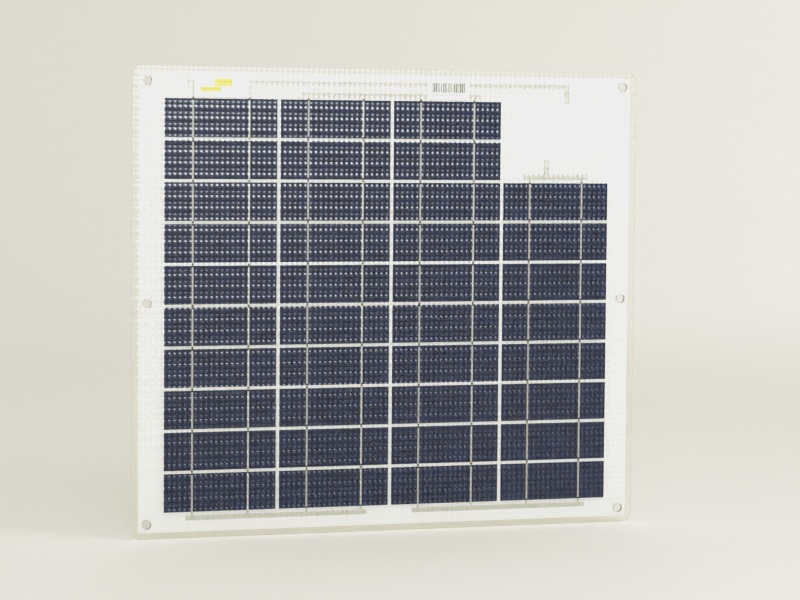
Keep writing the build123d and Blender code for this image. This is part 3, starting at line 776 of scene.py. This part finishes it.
def code_label_print(material):
    """A made-up row of bars of two widths, with a row of small ticks under it and no digits."""
    low, high = LABELS[1]
    rng = random.Random(21)
    front, back = low.y - PRINT_PROUD, low.y + PRINT_SUNK
    spans = []
    x, end = low.x + 4.9 * MM, low.x + 43.1 * MM
    while x < end - 1.5 * MM:
        wide = rng.choice((0.8, 0.8, 1.5)) * MM
        spans.append(((x, front, low.z + 8.0 * MM), (x + wide, back, high.z - 1.9 * MM)))
        x += wide + rng.choice((0.7, 0.9, 1.4)) * MM
    for k in range(12):
        x = low.x + 6 * MM + k * 3.0 * MM
        spans.append(((x, front, low.z + 4.6 * MM), (x + 1.0 * MM, back, low.z + 6.0 * MM)))
    return boxes("code_label_print", spans, material)


# ---------------------------------------------------------------- put the part together

edge_material = clear_plastic("clear_cut_edge", 0.45, 0.65, (0.80, 0.79, 0.74))
inner_clear = clear_plastic("inner_clear", 0.0, 0.002, (1.0, 1.0, 1.0))
rim_clear = clear_plastic("rim_clear", 0.02, 0.05, (0.98, 0.972, 0.938))
drilled = drilled_edge()

sheet = embossed_sheet([embossed_plastic(), inner_clear, edge_material, drilled])
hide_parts("front_sheet")
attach(sheet, "panel")

film = clear_film([inner_clear, rim_clear, edge_material, drilled])
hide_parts("front_film", "rear_film")
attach(film, "panel")

back_sheet = clear_back_sheet([clear_back_face(), inner_clear, edge_material, drilled])
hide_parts("back_sheet")
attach(back_sheet, "panel")

silver = silver_print()
for number, (low, high) in enumerate(CELLS, 1):
    fingers = cell_fingers(f"cell_fingers_{number}", low, high, silver)
    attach(fingers, "panel")

# Painted reflection: dark spots where the ribbons bend between cells.
beads = painted_bend_spots(painted_bend_reflection())
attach(beads, "panel")

for print_piece in (plain_label_print(ink("amber_ink", (0.93, 0.70, 0.03), (0.90, 0.62, 0.02))),
                    code_label_print(ink("grey_ink", (0.20, 0.20, 0.17), (0.09, 0.09, 0.075)))):
    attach(print_piece, "panel")

FINISHES = {
    "white_board": board_white(),
    "silicon": silicon_cell(),
    "tinned_ribbon": tinned_copper(),
    "label_film": label_white("label_film_finish", (0.90, 0.90, 0.895), (0.93, 0.93, 0.925)),
    "patch_film": label_white("patch_film_finish", (0.885, 0.887, 0.872), (0.905, 0.906, 0.892)),
    "box_plastic": moulded_plastic("box_plastic_finish", (0.016, 0.016, 0.017), (0.04, 0.04, 0.042),
                                   grain=5200, depth=0.03 * MM, rough=0.46),
    "gland_plastic": moulded_plastic("gland_nylon", (0.014, 0.014, 0.015), (0.034, 0.034, 0.036),
                                     grain=3800, depth=0.012 * MM, rough=0.36),
    "seal_rubber": rubber("seal_rubber_finish", (0.010, 0.010, 0.010), (0.028, 0.028, 0.027)),
    "bond_foam": foam(),
    "steel": metal("bright_steel", (0.42, 0.41, 0.40), (0.62, 0.62, 0.63), rough=0.2, along=(1.0, 1.0, 0.06)),
    "brass": metal("rail_brass", (0.42, 0.29, 0.11), (0.78, 0.58, 0.26), rough=0.24, along=(0.06, 1.0, 1.0)),
    "carrier_plastic": moulded_plastic("carrier_finish", (0.42, 0.42, 0.39), (0.52, 0.52, 0.49),
                                       grain=3000, depth=0.012 * MM, rough=0.42),
    "diode_body": diode_epoxy(*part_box("bypass_diode")),
}

for row in frame["record"]["subparts"]:
    finish = FINISHES.get(row["material_slot"])
    if finish is None:
        continue
    mesh = frame["nodes"][row["node"]].data
    mesh.materials.clear()
    mesh.materials.append(finish)


# ---------------------------------------------------------------- camera, light and backdrop

def put_camera():
    """A long lens a little to the left of the panel and slightly above its middle."""
    aim = Vector((12.2 * MM, 0, 0.9 * MM))
    away, azimuth, elevation, roll = 2.9176, math.radians(-17.509), math.radians(3.463), math.radians(0.463)
    back = Vector((math.sin(azimuth) * math.cos(elevation), -math.cos(azimuth) * math.cos(elevation),
                   math.sin(elevation)))
    data = bpy.data.cameras.new("camera")
    data.sensor_width, data.lens = 36.0, 118.35
    data.clip_start, data.clip_end = 0.1, 30.0
    camera = bpy.data.objects.new("camera", data)
    bpy.context.scene.collection.objects.link(camera)
    turn = (-back).to_track_quat("-Z", "Y") @ Matrix.Rotation(roll, 3, "Z").to_quaternion()
    camera.matrix_world = Matrix.Translation(aim + back * away) @ turn.to_matrix().to_4x4()
    bpy.context.scene.camera = camera


def area_light(name, place, target, size, power, colour=(1.0, 1.0, 1.0), spread=180.0,
               diffuse=True, glossy=True):
    """A softbox that faces target. Its spread, in degrees, narrows the beam."""
    data = bpy.data.lights.new(name, "AREA")
    data.shape, data.size, data.size_y = "RECTANGLE", size[0], size[1]
    data.energy, data.color, data.spread = power, colour, math.radians(spread)
    made = bpy.data.objects.new(name, data)
    bpy.context.scene.collection.objects.link(made)
    facing = (Vector(target) - Vector(place)).to_track_quat("-Z", "Y")
    made.matrix_world = Matrix.Translation(Vector(place)) @ facing.to_matrix().to_4x4()
    made.visible_diffuse, made.visible_glossy, made.visible_camera = diffuse, glossy, False
    return made


def backdrop():
    """A round pale floor that sweeps up far behind the panel, the same from every side."""
    flat, radius, top, around, curve_steps = 4.2, 3.4, 3.6, 96, 18
    profile = [(0.4, 0.0), (1.6, 0.0), (flat, 0.0)]
    for k in range(1, curve_steps + 1):
        turn = math.pi / 2 * k / curve_steps
        profile.append((flat + radius * math.sin(turn), radius * (1 - math.cos(turn))))
    profile.append((flat + radius, top))
    verts = [(0.0, 0.0, FLOOR_Z)]
    for out, up in profile:
        turns = [2 * math.pi * k / around for k in range(around)]
        verts += [(out * math.cos(a), out * math.sin(a), FLOOR_Z + up) for a in turns]
    faces = [(0, 1 + k, 1 + (k + 1) % around) for k in range(around)]
    for ring in range(len(profile) - 1):
        first = 1 + ring * around
        for k in range(around):
            after = (k + 1) % around
            faces.append((first + k, first + around + k, first + around + after, first + after))
    make_object("backdrop", verts, faces, [backdrop_paper()], smooth=True)


def daylight():
    """Even pale light from all round."""
    world = bpy.data.worlds.new("studio")
    world.use_nodes = True
    shade = world.node_tree.nodes["Background"]
    shade.inputs["Color"].default_value = (1.0, 0.985, 0.955, 1.0)
    shade.inputs["Strength"].default_value = 0.74
    bpy.context.scene.world = world


def soft_shoulder():
    """Plain display colours whose brightest tones roll off below pure white, as on film."""
    view = bpy.context.scene.view_settings
    view.view_transform = "Standard"
    view.use_curve_mapping = True
    view.curve_mapping.use_clip = False
    brightness = view.curve_mapping.curves[3]
    first, last = brightness.points
    first.location, last.location = (0.0, 0.0), (4.0, 0.905)
    for place in ((0.35, 0.35), (0.75, 0.75), (1.05, 0.868), (1.8, 0.886)):
        brightness.points.new(*place)
    view.curve_mapping.update()


def let_light_through(layers):
    """Lets a ray pass this many clear surfaces, enough for the whole laminate."""
    bpy.context.scene.cycles.transparent_max_bounces = layers


WARM = (1.0, 0.995, 0.98)
put_camera()
backdrop()
daylight()
area_light("front_softbox", (-0.7, -3.2, 0.75), (0, 0, -0.1), (1.6, 1.6), 46.0, WARM, glossy=False)
area_light("right_softbox", (1.3, -1.4, 0.9), (0.1, 0, 0), (0.8, 0.8), 14.0, WARM, glossy=False)
area_light("wall_softbox", (3.9, 2.2, 3.0), (4.3, 4.9, 0.2), (2.0, 1.6), 82.0, (1.0, 0.995, 0.985), glossy=False)
area_light("rear_softbox", (0.9, 2.9, 1.0), (0, 0, 0.05), (1.2, 1.2), 1.0, WARM, spread=30.0, glossy=False)
area_light("sparkle_softbox", (0.22, -3.21, 1.38), (0, 0, 0), (0.5, 0.9), 172.0, diffuse=False)
soft_shoulder()
let_light_through(24)
